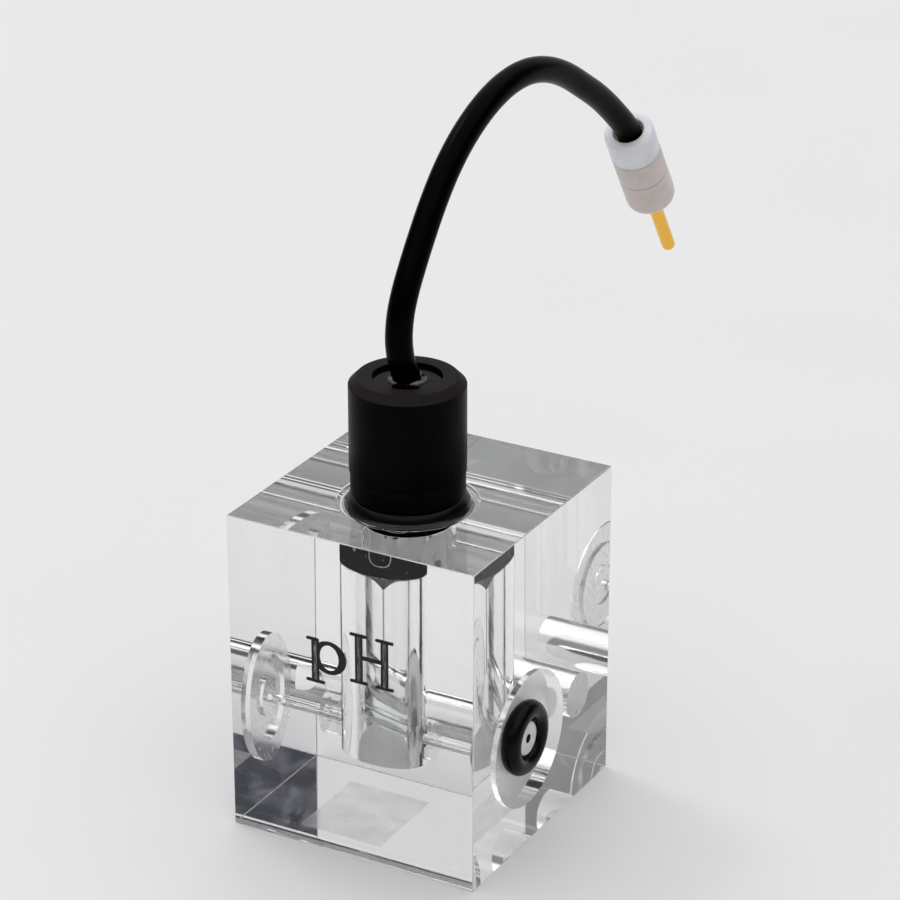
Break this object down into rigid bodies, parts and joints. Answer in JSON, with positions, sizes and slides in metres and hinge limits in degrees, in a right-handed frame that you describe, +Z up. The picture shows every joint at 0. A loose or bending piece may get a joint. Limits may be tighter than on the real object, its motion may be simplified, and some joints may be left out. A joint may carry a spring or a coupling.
{
  "type": "ph electrode",
  "caption": "Flow-through pH electrode: a clear acrylic cell block with a glass sample capillary, a black plug and cap, and a short stiff lead ending in a white-sleeved gold pin.",
  "frame": {"origin": "centre of the block's base", "axes": "+Z up through the cap, +X along the sample channel to the nozzle side, +Y from the lettered face to the back"},
  "size_m": [0.0244, 0.061, 0.0635],
  "materials": {
    "clear_acrylic": "polished",
    "glass": "polished",
    "clear_sealant": "glossy",
    "white_nozzle": "satin",
    "black_rubber": "satin",
    "black_plastic": "satin",
    "black_resin": "glossy",
    "silver": "dull",
    "solder": "satin",
    "copper": "satin",
    "core_white": "satin",
    "lead_black": "satin",
    "sleeve_white": "satin",
    "gold": "polished"
  },
  "bodies": {
    "root": {"cell_block": "clear_acrylic", "inlet_bush": "clear_acrylic", "flow_nozzle": "white_nozzle", "face_ring": "black_rubber", "glass_capillary": "glass", "left_gland": "clear_sealant", "right_gland": "clear_sealant", "electrode_plug": "black_plastic", "plug_ring": "black_rubber", "wire_seal": "black_resin", "silver_wire": "silver", "lead_cap": "black_plastic", "potting": "black_resin", "solder_bead": "solder", "cap_conductor": "copper", "core_insulation": "core_white", "lead_jacket": "lead_black", "rear_sleeve": "sleeve_white", "middle_sleeve": "sleeve_white", "front_sleeve": "sleeve_white", "crimp_barrel": "copper", "pin_conductor": "copper", "contact_pin": "gold"}
  },
  "joints": []
}
